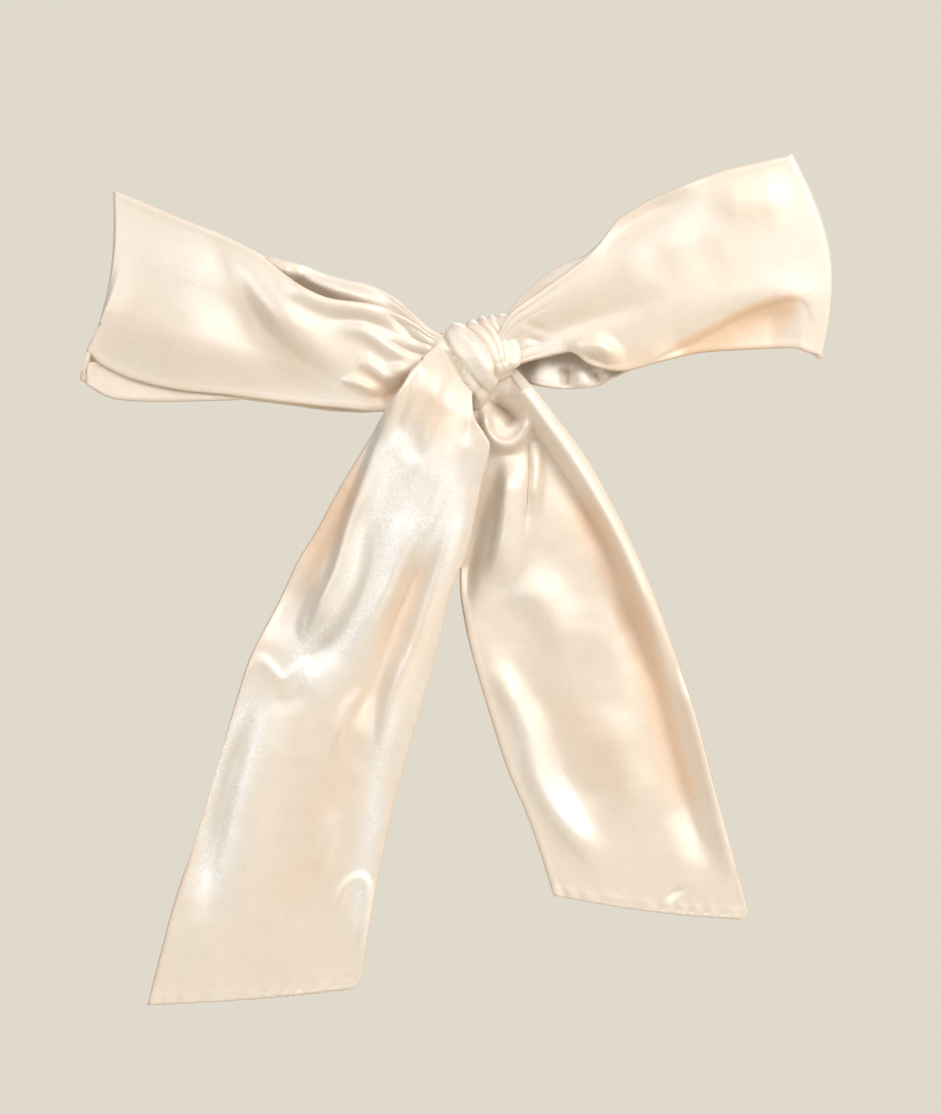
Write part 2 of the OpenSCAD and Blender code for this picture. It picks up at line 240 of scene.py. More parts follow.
def satin_material(name, body, painted_shade_color, painted_sheen_color, metallic, roughness):
    """Champagne satin: a fine warp-faced weave with a broad gloss. Its light and shade are painted:
    warm shade into the folds, silver sheen onto the ridges, and a darker painted shade along its folded
    edges."""
    m = Nodes(name)
    place = m.add("ShaderNodeTexCoord").outputs["Object"]
    uv = m.add("ShaderNodeUVMap", uv_map="cloth").outputs["UV"]
    # The painted light: above 0 a warm painted shade, below 0 a silver painted sheen.
    painted_light = m.add("ShaderNodeAttribute", attribute_name="painted_light").outputs["Fac"]
    painted_sheen = m.clamped(m.math("MULTIPLY", painted_light, -1.0))
    color = satin_color(m, place, uv, painted_light, painted_sheen, body, painted_shade_color, painted_sheen_color)
    m.link(color, m.shader.inputs["Base Color"])
    m.link(satin_relief(m, place, uv, painted_sheen), m.shader.inputs["Normal"])
    rough = m.ramp(m.noise(place, GLOSS_PATCH, 3.0, 0.7),
                   [(0.3, grey(roughness - 0.05)), (0.7, grey(roughness + 0.07))])
    m.link(rough, m.shader.inputs["Roughness"])
    m.set(Metallic=metallic, IOR=1.6, Anisotropic=0.5, Sheen_Weight=0.25, Sheen_Roughness=0.35)
    m.shader.inputs["Specular IOR Level"].default_value = 0.8
    m.shader.inputs["Sheen Tint"].default_value = (1.0, 0.95, 0.88, 1)
    tangent = m.add("ShaderNodeTangent", direction_type="UV_MAP", uv_map="cloth")
    m.link(tangent.outputs["Tangent"], m.shader.inputs["Tangent"])
    return m.material


def thread_material():
    m = Nodes("thread")
    place = m.add("ShaderNodeTexCoord").outputs["Object"]
    twist = m.add("ShaderNodeTexWave", Scale=1400.0, Distortion=1.0, bands_direction="DIAGONAL")
    m.link(place, twist.inputs["Vector"])
    color = m.mix(m.noise(place, 900.0), (0.80, 0.70, 0.56), (0.90, 0.82, 0.70))
    m.link(color, m.shader.inputs["Base Color"])
    m.link(m.bump(twist.outputs["Fac"], 0.00006, 0.8), m.shader.inputs["Normal"])
    m.set(Roughness=0.55, Sheen_Weight=0.4)
    return m.material


def felt_material():
    m = Nodes("felt")
    place = m.add("ShaderNodeTexCoord").outputs["Object"]
    fibre = m.noise(place, 1500.0, 6.0, 0.75)
    clump = m.noise(place, 300.0, 4.0, 0.65)
    color = m.mix(clump, (0.66, 0.57, 0.46), (0.80, 0.72, 0.60))
    m.link(color, m.shader.inputs["Base Color"])
    m.link(m.bump(fibre, 0.0003, 0.9, m.bump(clump, 0.0004, 0.6)), m.shader.inputs["Normal"])
    m.set(Roughness=0.95, Sheen_Weight=0.6, Sheen_Roughness=0.6)
    return m.material


TARNISH = (0.80, 0.76, 0.70)


def metal_material(name, color, roughness, brush):
    """Nickel plate with brush marks along the strip, and a little tarnish."""
    m = Nodes(name)
    coordinates = m.add("ShaderNodeTexCoord").outputs["Object"]
    stretch = m.add("ShaderNodeMapping", vector_type="POINT", Scale=(1.0, 40.0, 40.0))
    m.link(coordinates, stretch.inputs["Vector"])
    lines = m.noise(stretch.outputs["Vector"], brush, 4.0, 0.7)
    tarnish = m.noise(coordinates, 160.0, 5.0, 0.65)
    stain = m.ramp(tarnish, [(0.45, grey(0)), (0.75, grey(0.6))])
    m.link(m.mix(stain, color, times(color, TARNISH)), m.shader.inputs["Base Color"])
    m.link(m.ramp(lines, [(0.3, grey(roughness - 0.08)), (0.7, grey(roughness + 0.1))]),
           m.shader.inputs["Roughness"])
    m.link(m.bump(lines, 0.00003, 0.5), m.shader.inputs["Normal"])
    m.set(Metallic=1.0)
    return m.material


# ---------------------------------------------------------------- drawing cloth


def smooth(t):
    t = np.clip(t, 0, 1)
    return t * t * (3 - 2 * t)


def curve(points, count):
    """A smooth curve through the points, at count places evenly spaced along it."""
    p = np.array(points, float)
    p = np.vstack([2 * p[0] - p[1], p, 2 * p[-1] - p[-2]])
    t = np.linspace(0, 1, 17)[:-1, None]
    parts = []
    for a, b, c, d in zip(p, p[1:], p[2:], p[3:]):
        parts.append(0.5 * (2 * b + (c - a) * t + (2 * a - 5 * b + 4 * c - d) * t**2
                            + (3 * b - a - 3 * c + d) * t**3))
    path = np.vstack([*parts, p[-2:-1]])
    length = np.concatenate([[0], np.cumsum(np.linalg.norm(np.diff(path, axis=0), axis=1))])
    at = np.linspace(0, length[-1], count)
    return np.column_stack([np.interp(at, length, path[:, k]) for k in range(path.shape[1])])


def fold(points, height, left, right, fade=0.25, hold=False, crease=False):
    """One fold drawn along points: how far it stands forward, and its half-widths left and right of the
    way it runs. It fades at both ends over a share of its length, or only at its far end where hold is
    set. A crease comes to a sharp line, and any other fold is round."""
    return {"path": curve(points, 60), "height": height, "left": left, "right": right,
            "fade": fade, "hold": hold, "power": 1.15 if crease else 2.0}


def relief(x, z, folds):
    """How far the cloth stands forward at each place, from all its folds together."""
    out = np.zeros_like(x)
    for f in folds:
        path = f["path"]
        along = np.gradient(path, axis=0)
        dx = x[..., None] - path[:, 0]
        dz = z[..., None] - path[:, 1]
        nearest = np.argmin(dx**2 + dz**2, axis=-1)
        px = np.take_along_axis(dx, nearest[..., None], -1)[..., 0]
        pz = np.take_along_axis(dz, nearest[..., None], -1)[..., 0]
        t = along[nearest]
        last = len(path) - 1
        ahead = (px * t[..., 0] + pz * t[..., 1]) / np.sum(t * t, axis=-1)
        ahead = np.clip(ahead, np.where(nearest == 0, 0, -0.6), np.where(nearest == last, 0, 0.6))
        px, pz = px - ahead * t[..., 0], pz - ahead * t[..., 1]
        side = t[..., 0] * pz - t[..., 1] * px
        distance = np.hypot(px, pz)
        width = np.where(side > 0, f["left"], f["right"])
        share = (nearest + ahead) / last
        ends = smooth((1 - share) / f["fade"])
        if not f["hold"]:
            ends = ends * smooth(share / f["fade"])
        out += f["height"] * ends * np.exp(-(distance / width) ** f["power"])
    return out


def painted_light_stroke(points, amount, width, fade=0.3):
    """A stretch of painted light drawn along points: above 0 it paints warm shade, below 0 a silver
    sheen.
    """
    return fold(points, amount, width, width, fade)


def between(first, second, u):
    """The points from one edge to the other, row by row: their x and z."""
    flat = first[:, None] * (1 - u[None, :, None]) + second[:, None] * u[None, :, None]
    return flat[..., 0], flat[..., 1]


def in_space(x, y, z):
    """The grid of points for x and z in the bow's drawing plane and y in the frame."""
    return np.stack([x, y + 0 * x, z + BOW_Z], axis=-1)


def crumple(x, z, scale, seed):
    """Slow, small unevenness, in the range -1 to 1."""
    flat = [noise.noise(Vector((a / scale, b / scale, seed))) for a, b in zip(x.ravel(), z.ravel())]
    return np.array(flat).reshape(x.shape)


def seam(u, width, inset=0.9, thick=0.55, height=0.07):
    """The ridge that the sewn-in seam allowance makes just inside both long edges."""
    edge = np.minimum(u, 1 - u) * width
    return height * np.exp(-((edge - inset) / thick) ** 2)


def normals_of(grid, closed):
    along = np.gradient(grid, axis=0)
    if closed:
        along[0] = along[-1] = (grid[1] - grid[-2]) / 2
    across = np.gradient(grid, axis=1)
    n = np.cross(along, across)
    return n / np.maximum(np.linalg.norm(n, axis=-1, keepdims=True), 1e-9)


def edge_rim(line, inner_line, half):
    """The long edge's own line of points, half a thickness beyond the sheet's last line."""
    outward = line - inner_line
    outward /= np.linalg.norm(outward, axis=-1, keepdims=True)
    return (line + outward * half)[:, None]


def shell_faces(rows, columns, around, closed):
    """The faces of a shell whose rows are rings of points. Its ends are capped unless it is closed."""
    faces = []
    for r in range(rows if closed else rows - 1):
        a, b = r * around, (r + 1) % rows * around
        for c in range(around):
            d = (c + 1) % around
            faces.append((a + c, a + d, b + d, b + c))
    if closed:
        return faces
    for r, flip in ((0, False), (rows - 1, True)):
        start = r * around
        for c in range(columns - 1):
            quad = (start + c, start + around - 2 - c, start + around - 3 - c, start + c + 1)
            faces.append(quad[::-1] if flip else quad)
        last = (start + columns - 1, start + columns + 1, start + columns)
        first = (start, start + around - 1, start + around - 2)
        faces += [last[::-1], first[::-1]] if flip else [last, first]
    return faces


def lay_uv(mesh, rows, columns, around):
    """Texture coordinates across the cloth and along it, the same on both of its faces."""
    uv = mesh.uv_layers.new(name="cloth")
    corners = np.empty(len(mesh.loops), int)
    mesh.loops.foreach_get("vertex_index", corners)
    column = corners % around
    across = np.where(column < columns, column, 2 * columns - column) / columns
    lengthwise = (corners // around) / rows
    uv.data.foreach_set("uv", np.column_stack([across, lengthwise]).ravel())


def cloth(name, grid, thickness, material, closed=False, painted_light=0.0):
    """A solid shell round a grid of points in millimetres. Rows run along the cloth, and closed joins
    the last row to the first."""
    rows, columns = grid.shape[:2]
    n = normals_of(grid, closed)
    painted_light = np.broadcast_to(painted_light, (rows, columns))
    if closed:
        grid, n, painted_light = grid[:-1], n[:-1], painted_light[:-1]
        rows -= 1
    half = thickness / 2
    first_rim = edge_rim(grid[:, 0], grid[:, 1], half)
    last_rim = edge_rim(grid[:, -1], grid[:, -2], half)
    ring = np.concatenate([grid + n * half, last_rim, (grid - n * half)[:, ::-1], first_rim], axis=1)
    around = ring.shape[1]
    mesh = bpy.data.meshes.new(name)
    faces = shell_faces(rows, columns, around, closed)
    mesh.from_pydata((ring.reshape(-1, 3) * MM).tolist(), [], faces)
    mesh.validate()
    mesh.update()
    # The painted light and shade, the same on both faces of the cloth.
    both_sides = np.concatenate([painted_light, painted_light[:, -1:], painted_light[:, ::-1], painted_light[:, :1]], axis=1)
    mesh.attributes.new("painted_light", "FLOAT", "POINT").data.foreach_set("value", both_sides.ravel())
    lay_uv(mesh, rows, columns, around)
    mesh.polygons.foreach_set("use_smooth", [True] * len(mesh.polygons))
    mesh.materials.append(material)
    piece = bpy.data.objects.new(name, mesh)
    bpy.context.scene.collection.objects.link(piece)
    face_outwards(piece)
    return piece


def face_outwards(piece):
    b = bmesh.new()
    b.from_mesh(piece.data)
    bmesh.ops.recalc_face_normals(b, faces=b.faces)
    b.to_mesh(piece.data)
    b.free()


# ---------------------------------------------------------------- tails

TAIL_ROWS, TAIL_COLUMNS = 240, 130
CORNER_R = 2.6
# The hem's stitching line, and the small waves of its edge.
STITCH_INSET, STITCH_WIDTH, STITCH_HEIGHT = 2.2, 0.7, 0.08
HEM_WAVE, HEM_WAVE_REACH = 0.22, 2.5


def tail_grid(left, right, front_y, folds, painted_light_strokes, hem_bow, crumple_seed):
    """A tail between its left and right edges, drawn from the knot to the hem, and its painted light
    and shade.
    """
    a, b = curve(left, TAIL_ROWS), curve(right, TAIL_ROWS)
    u = np.linspace(0, 1, TAIL_COLUMNS)
    v = np.linspace(0, 1, TAIL_ROWS)
    to_hem = (1 - v) * np.linalg.norm(np.diff(b, axis=0), axis=1).sum()
    inset = CORNER_R - np.sqrt(CORNER_R**2 - np.clip(CORNER_R - to_hem, 0, CORNER_R) ** 2)
    b = b + (a - b) / np.linalg.norm(a - b, axis=1)[:, None] * inset[:, None]
    x, z = between(a, b, u)
    z -= hem_bow * np.sin(math.pi * u)[None] * smooth((v - 0.9) / 0.1)[:, None]
    width = np.linalg.norm(b - a, axis=1)[:, None]
    h = relief(x, z, folds)
    h += seam(u[None], width) * smooth(v * 6)[:, None]
    h += 0.35 * crumple(x, z, 16.0, crumple_seed) + 0.10 * crumple(x, z, 5.0, crumple_seed + 7)
    hem = (1 - v)[:, None] * np.linalg.norm(a[-1] - a[0])
    h += STITCH_HEIGHT * np.exp(-((hem - STITCH_INSET) / STITCH_WIDTH) ** 2)
    h += HEM_WAVE * np.sin(u * 60 + 3 * np.sin(u * 9))[None] * np.exp(-(hem / HEM_WAVE_REACH) ** 2)
    return in_space(x, front_y(v)[:, None] - h, z), relief(x, z, painted_light_strokes)


def dress_tail(name, node, grid, painted_light, satin):
    """The tail as one piece."""
    piece = cloth(name, grid, SASH_THICKNESS, satin, painted_light=painted_light)
    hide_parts(node)
    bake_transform(piece)
    return piece


def left_tail(satin):
    left = [(-9, 6), (-13.5, 1.5), (-17.5, -3), (-20.5, -8), (-24.5, -13.6), (-30.3, -23.4),
            (-36.7, -34), (-42.8, -45.2), (-47.9, -53.5), (-52.9, -64.1), (-58.5, -75), (-60.8, -80),
            (-63, -86.7), (-68.6, -105.6), (-75.3, -128.2), (-81.1, -146), (-87.6, -171)]
    right = [(0.5, -3), (-2.2, -8), (-1.8, -15), (1.0, -20), (2.2, -23.5), (0.2, -32), (-1.5, -40),
             (-3.8, -51), (-6.6, -57.5), (-9.2, -65), (-11.6, -76), (-14.6, -87), (-19, -102.4),
             (-23.8, -120.2), (-27.8, -140), (-30.6, -156.7), (-32, -166.5)]
    folds = [
        # The ridge that falls from the turn at the knot, and the hollow on its outer side.
        fold([(-17, -3), (-22.3, -11.7), (-26.3, -21.3), (-30.3, -31.7), (-34.3, -42.8),
              (-38.3, -56.4), (-43.9, -69.2), (-46.5, -77)], 6.5, 7.0, 1.2, 0.18, hold=True),
        fold([(-22, -8), (-30.3, -23.4), (-36.7, -34), (-42.8, -45.2), (-47.9, -53.5), (-54, -66),
              (-58, -76)], -5.8, 6.5, 4.0, 0.22),
        fold([(-39.9, -56.4), (-43.9, -64.4), (-46.7, -70.8), (-47, -75)], 2.0, 1.2, 1.4, 0.3),
        # The V-shaped kink in from the outer edge.
        fold([(-60, -77.5), (-55.8, -81), (-52.2, -84.6), (-48.5, -82), (-44.5, -78.5)],
             1.0, 1.0, 3.2, 0.2, crease=True),
        fold([(-57, -87), (-51.5, -90), (-45, -86)], -0.7, 3.0, 3.0, 0.35),
        fold([(-28, -36), (-29.7, -44), (-30.2, -56), (-36, -68.8), (-44, -79.2), (-50, -85)],
             -2.4, 3.8, 3.0, 0.25),
        fold([(-19.6, -14), (-18, -21), (-15.6, -29)], -1.4, 2.6, 2.6, 0.35),
        fold([(-7, -12), (-8, -21.3), (-14.4, -41.2), (-19.2, -48.8), (-26.3, -64.4), (-31.9, -74),
              (-37.5, -81)], 3.0, 2.4, 4.4, 0.3),
        fold([(-14, -47), (-19, -60), (-25, -76), (-33, -100)], -2.4, 4.0, 2.6, 0.25),
        fold([(-4.5, -30), (-8.8, -49.2), (-12.8, -61.2), (-16, -71.5), (-20.7, -85), (-26.5, -103)],
             2.6, 2.4, 2.6, 0.3),
        # Long, shallow folds down to the hem.
        fold([(-63, -86), (-70, -108), (-76, -128), (-81, -146)], 1.4, 1.8, 2.6, 0.3),
        fold([(-58, -88), (-65, -108), (-70, -128), (-75, -150)], -2.2, 2.4, 3.6, 0.3),
        fold([(-51, -92), (-57, -112), (-62, -132), (-66, -150)], 1.1, 4.0, 7.0, 0.3),
        fold([(-17.6, -74.5), (-22.6, -84.3), (-26, -101), (-28, -107)], 1.6, 2.0, 2.0, 0.35),
        fold([(-29.3, -84.3), (-35.4, -94.2), (-39.1, -105.9)], 0.8, 1.4, 1.8, 0.4),
        # The hook-shaped pucker above the hem's inner corner.
        fold([(-39, -148.4), (-35.4, -139.4), (-30.8, -137.5), (-29.8, -143.4), (-32.5, -159)],
             0.8, 1.0, 1.3, 0.3),
        fold([(-38, -118), (-40, -128), (-44, -138)], 0.7, 2.0, 2.4, 0.4),
        # Gathers just below the knot.
        fold([(-16, 0), (-19.5, -12), (-24, -24)], -1.6, 1.2, 1.4, 0.3),
        fold([(-3, -9), (-2.6, -16), (-4.0, -24)], -1.4, 1.6, 1.8, 0.4),
        fold([(-10, -4), (-13, -14), (-17, -26), (-20, -36)], 1.0, 1.6, 2.0, 0.4, hold=True),
    ]
    # Painted light: warm painted shade in the hollows beside the ridges, silver painted sheen along the
    # ridges.
    painted_light_strokes = [
        painted_light_stroke([(-22, -12), (-24, -40), (-33, -66), (-45, -80), (-55, -86)], -1.1, 9.0, 0.15),
        painted_light_stroke([(-52, -84), (-60, -94), (-66, -112), (-70, -130), (-74, -150)], -1.0, 6.5, 0.2),
        painted_light_stroke([(-29, -38), (-29.7, -48), (-30.5, -58), (-36.5, -69.5), (-45, -80.5), (-51, -86)],
             -1.0, 2.6),
        painted_light_stroke([(-57, -86), (-63, -100), (-68, -116), (-72.5, -142)], -1.2, 3.4, 0.4),
        painted_light_stroke([(-6, -20), (-9, -36), (-14, -46), (-20, -56)], -0.9, 4.5),
        painted_light_stroke([(-4, -36), (-8, -50), (-13, -64)], -0.7, 2.0),
        painted_light_stroke([(-13, -44), (-18, -58), (-23, -70), (-29, -86)], 0.8, 3.6, 0.4),
        painted_light_stroke([(-17, -76), (-23, -94), (-26.5, -104), (-29, -125), (-31.5, -140), (-32, -164)],
             -0.8, 3.0),
        painted_light_stroke([(-25, -16), (-34, -34), (-43, -52), (-51, -70)], 1.3, 4.2, 0.4),
        painted_light_stroke([(-11, -6), (-12, -16), (-11, -26)], 0.48, 4.0),
        painted_light_stroke([(-24, -60), (-32, -90), (-44, -125), (-56, -158)], 0.26, 9.0, 0.3),
    ]

    def front_y(v):
        return BOW_Y - 3.2 - 8.0 * smooth(v / 0.09) + 3.0 * smooth((v - 0.1) / 0.4)

    grid, painted_light = tail_grid(left, right, front_y, folds, painted_light_strokes, 0.6, 3.1)
    return dress_tail("left_tail_satin", "left_tail", grid, painted_light, satin)


def right_tail(satin):
    left = [(-3, -8), (-2.4, -13), (-1.6, -18.6), (0.2, -23.5), (-1.6, -31.7), (-2.6, -38.3),
            (-4.6, -51.3), (-4.9, -60.4), (-3.9, -68.1), (-1.7, -78.2), (3.5, -95.8), (7.7, -108.8),
            (12.5, -120), (16.2, -130.3), (20, -142.5)]
    right = [(9, -2), (13, -6.7), (20.2, -15.7), (27.4, -25.3), (34.6, -37.8), (40.4, -49.5),
             (45.8, -62), (51.1, -76.9), (56.7, -93.6), (62, -113.8), (67.4, -133.3), (71.6, -149)]
    folds = [
        # The roll along the outer edge, and the crease and hollow under it.
        fold([(12, -9), (17.5, -16.5), (24.2, -26), (30.4, -36), (36.6, -47.5), (42.2, -60),
              (48, -75), (53, -92)], 5.4, 3.4, 2.6, 0.35, hold=True),
        fold([(11, -12), (12.8, -16.2), (19.4, -25.5), (25.8, -35), (32.2, -45.8), (36.6, -53),
              (42.3, -62.2)], -2.4, 1.0, 3.6, 0.25, crease=True),
        fold([(34, -50), (40, -66), (46, -84), (50, -100), (57, -124), (62, -140)],
             -3.4, 2.6, 5.0, 0.25),
        fold([(52, -80), (58, -100), (63, -120), (68, -140)], 2.4, 2.2, 2.2, 0.2),
        # The small mouth that the cloth makes under the knot, and its lip.
        fold([(5.0, -12), (8.0, -14.2), (10.2, -17.4)], -5.0, 2.0, 2.4, 0.25, hold=True),
        fold([(1.6, -12), (1.8, -18), (4.4, -21.6), (8.6, -22), (11.8, -18.6), (12.8, -13)],
             3.6, 1.1, 1.5, 0.2),
        # The ridge below the lip, and the hollow along the inner edge.
        fold([(6.6, -24), (7.6, -32), (7.2, -42), (5.6, -52), (2.6, -60)], 4.2, 5.6, 2.4, 0.3),
        fold([(12.6, -18), (13.0, -28), (12.2, -40), (11.4, -48)], -1.2, 1.0, 0.8, 0.3, crease=True),
        fold([(14.4, -20), (14.8, -30), (14.2, -42)], 1.8, 1.6, 1.2, 0.35),
        fold([(3.6, -30), (1.0, -38), (-1.4, -47), (-3.4, -57), (-4.6, -70)], -4.4, 2.6, 7.0, 0.4),
        # Broad, soft folds down to the hem.
        fold([(4, -58), (9, -60.5), (16, -64), (21, -72), (25.5, -84)], 2.0, 6.5, 4.8, 0.35),
        fold([(2, -74), (5.5, -84), (12.5, -98.4), (15.7, -112), (23.7, -124.8), (36, -138.3)],
             2.3, 4.0, 3.0, 0.25),
        fold([(10, -78), (18, -96), (23, -110), (32, -126)], -1.7, 5.5, 5.0, 0.3),
        fold([(32, -90), (38, -108), (44, -126)], 1.4, 6.0, 6.0, 0.35),
        fold([(51, -140), (53, -143)], -0.9, 2.2, 2.2, 0.4),
    ]
    # Painted light: warm painted shade in the hollow under the roll, silver painted sheen on the
    # ridges.
    painted_light_strokes = [
        painted_light_stroke([(22, -30), (34, -52), (43, -74), (50, -98), (58, -126)], 0.78, 5.0, 0.15),
        painted_light_stroke([(9, -24), (8.6, -40), (5, -56), (14, -66), (22, -78)], -0.2, 4.0),
        painted_light_stroke([(20, -80), (30, -100), (42, -124)], 0.3, 9.0),
        painted_light_stroke([(8, -86), (16, -110), (30, -132)], -0.5, 4.0),
    ]

    def front_y(v):
        return BOW_Y - 1.0 + 0.8 * smooth(v / 0.2)

    grid, painted_light = tail_grid(left, right, front_y, folds, painted_light_strokes, 1.0, 8.4)
    return dress_tail("right_tail_satin", "right_tail", grid, painted_light, satin)


# ---------------------------------------------------------------- loops

LOOP_ROWS, LOOP_COLUMNS = 130, 110
EDGE_POINTS = 400
# Half the gap between the two leaves at the knot, in the middle and at the far edge.
LOOP_NECK, LOOP_FULL, LOOP_END = 3.2, 5.4, 1.5


def leaf_depth(share, u, length, pinch):
    """Half the gap between a loop's two leaves: narrow at the knot, full in the middle, and flat and
    then round at the far edge. Its long edges lie closer together, by pinch = (bottom, top)."""
    depth = LOOP_NECK + (LOOP_FULL - LOOP_NECK) * smooth(share / 0.35)
    depth = depth - (LOOP_FULL - LOOP_END) * np.clip((share - 0.45) / 0.55, 0, 1) ** 1.6
    turn = LOOP_END * 0.7 / length
    round_end = np.sqrt(np.clip(1 - np.clip((share - 1 + turn) / turn, 0, 1) ** 2, 0, 1))
    away = smooth((share - 0.25) / 0.35)[:, None]
    bottom = 1 - pinch[0] * away * (1 - smooth(u / 0.35))[None]
    top = 1 - pinch[1] * away * smooth((u - 0.65) / 0.35)[None]
    return (depth * round_end)[:, None] * bottom * top


def leaf(top, bottom, bulge, side, pinch, folds, painted_light_strokes, gathers, seed):
    """One leaf of a loop, from the knot to its far edge, and its painted light and shade. side: -1 in
    front, 1 behind.
    """
    share = np.sin(np.linspace(0, 1, LOOP_ROWS) * math.pi / 2) ** 1.3
    a, b = curve(bottom, EDGE_POINTS), curve(top, EDGE_POINTS)
    at = np.linspace(0, 1, EDGE_POINTS)
    a = np.column_stack([np.interp(share, at, a[:, k]) for k in (0, 1)])
    b = np.column_stack([np.interp(share, at, b[:, k]) for k in (0, 1)])
    u = np.linspace(0, 1, LOOP_COLUMNS)
    x, z = between(a, b, u)
    x = x + bulge * np.sin(math.pi * u)[None] * (share**5)[:, None]
    length = abs(a[-1, 0] - a[0, 0])
    depth = leaf_depth(share, u, length, pinch)
    width = np.linalg.norm(b - a, axis=1)[:, None]
    h = relief(x, z, folds)
    near = np.exp(-(share * length / gathers["reach"]))[:, None]
    phase = gathers["count"] * u + gathers["shift"] + 0.3 * np.sin(7 * u)
    h += gathers["height"] * near * (np.abs(np.sin(math.pi * phase))[None] ** 0.8 - 0.5)
    h += 0.12 * crumple(x, z, 18.0, seed) + 0.05 * crumple(x, z, 5.0, seed + 5)
    h += seam(u[None], width) * smooth(share * 5)[:, None]
    fade = smooth((1 - share) / 0.05)[:, None]
    return in_space(x, BOW_Y + side * (depth + h * fade), z), relief(x, z, painted_light_strokes)


def loop_band(name, node, leaves, satin):
    """A loop as one piece, from the knot round its far edge and back."""
    (front, front_painted_light), (back, back_painted_light) = leaves
    grid = np.concatenate([front, back[-2::-1]], axis=0)
    painted_light = np.concatenate([front_painted_light, back_painted_light[-2::-1]], axis=0)
    piece = cloth(name, grid, SASH_THICKNESS, satin, painted_light=painted_light)
    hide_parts(node)
    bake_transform(piece)
    return piece


def left_loop(satin):
    front_top = [(-7, 4), (-12.5, 6), (-17.5, 9.5), (-23.7, 12.6), (-29.5, 14.4), (-37.8, 15.4),
                 (-42.3, 16.6), (-48.1, 19.6), (-55.1, 24.7), (-59.5, 28.2), (-68.4, 32.7),
                 (-81.9, 38.2), (-97.1, 44.7)]
    front_bottom = [(-7, -3), (-12, -6), (-18, -10.5), (-24.7, -13.4), (-37, -12.6), (-52, -11),
                    (-67, -9), (-80.3, -7.6), (-92.3, -4.8), (-100.5, -1.0), (-104.3, 2.0),
                    (-106.0, -4.6)]
    back_top = [(-7, 5), (-12.5, 7.6), (-17.6, 11.9), (-22.1, 15.9), (-28.7, 19.4), (-40.2, 22.3),
                (-48.1, 25.2), (-58.8, 28.0), (-68.4, 32.0), (-81.9, 37.4), (-97.1, 44.7)]
    back_bottom = [(-7, -3), (-12, -5), (-24.7, -12.5), (-37, -13.2), (-52, -11.4), (-62, -10.2),
                   (-72, -9.0), (-84, -8.6), (-96.3, -8.2), (-101.5, -7.2), (-106.0, -5.0)]
    front_folds = [
        # The broad valley that slants down to the knot, and the ridge that runs beside it.
        fold([(-76, 31), (-70, 26), (-65, 19), (-61, 13.3), (-55.9, 6.9), (-50.5, 1.6), (-43.6, -3.7),
              (-37.2, -7.4), (-29.3, -10.6)], -3.2, 4.0, 11.0, 0.45),
        fold([(-67, 33), (-61.5, 24), (-55.9, 14.4), (-51.6, 6.9), (-47.3, 2.1), (-38.8, -3.7),
              (-31, -8)], 3.0, 10.0, 5.5, 0.5),
        fold([(-103, 24), (-92, 14), (-80, 6), (-68, -2)], 1.2, 10, 12, 0.35),
        fold([(-40, 9), (-31.4, 8), (-27, 5.3), (-22.9, 2.7), (-16, -0.5)], 1.8, 2.2, 2.0, 0.35),
        fold([(-26, 13), (-24.5, 12.2), (-20.7, 9), (-17, 5.3), (-13.5, 3.8)],
             -1.5, 1.4, 1.0, 0.3, crease=True),
        fold([(-27, 6.2), (-24, 4.8), (-19.7, 2.7), (-13, 0.5)], -1.6, 1.2, 1.0, 0.3, crease=True),
        fold([(-42, 12), (-36, 10.5), (-28, 9.5), (-20, 6.5)], -1.2, 2.4, 2.4, 0.35),
        fold([(-30, -1), (-24.5, -4.8), (-21.8, -3.2), (-16, -2.4)], 1.5, 1.8, 1.4, 0.35, hold=True),
        fold([(-15, -4), (-20, -6.4), (-24, -9.5), (-27, -12)], -4.2, 2.2, 1.8, 0.35, hold=True),
        fold([(-37, -5), (-30.3, -7.4), (-27, -10)], 1.6, 1.2, 1.0, 0.3, crease=True),
        fold([(-54, 22), (-48.1, 18), (-40, 14.6), (-30, 12.8), (-20, 9)], 2.2, 2.6, 2.4, 0.25),
    ]
    back_folds = [
        fold([(-52, 23.5), (-47, 20), (-43, 17), (-38, 15)], 5.0, 2.0, 3.0, 0.3),
        fold([(-58, 27), (-45, 20.5), (-34, 17.5), (-24, 14)], -3.6, 2.2, 2.2, 0.25),
        fold([(-14, 0), (-40, 2), (-70, 12)], 2.0, 5, 5, 0.3),
        fold([(-20, -8), (-45, -7), (-70, -4)], -1.6, 4, 4, 0.3),
    ]
    # Painted light: warm painted shade along the valley and near the knot, silver painted sheen on the
    # outer part.
    front_painted_light_strokes = [
        painted_light_stroke([(-72, 26), (-61, 13), (-50, 1), (-38, -7)], 0.3, 5.0),
        painted_light_stroke([(-86, 36), (-74, 20), (-62, 6)], -0.35, 8.0),
        painted_light_stroke([(-35, -4), (-26, -8), (-20, -9)], 0.54, 4.0),
    ]
    gathers = {"count": 5, "shift": 0.2, "height": 0.8, "reach": 9.0}
    pinch = (0.72, 0.55)
    leaves = (leaf(front_top, front_bottom, 3.2, -1, pinch, front_folds, front_painted_light_strokes, gathers, 1.7),
              leaf(back_top, back_bottom, 3.2, 1, pinch, back_folds, [], gathers, 4.4))
    return loop_band("left_loop_satin", "left_loop", leaves, satin)


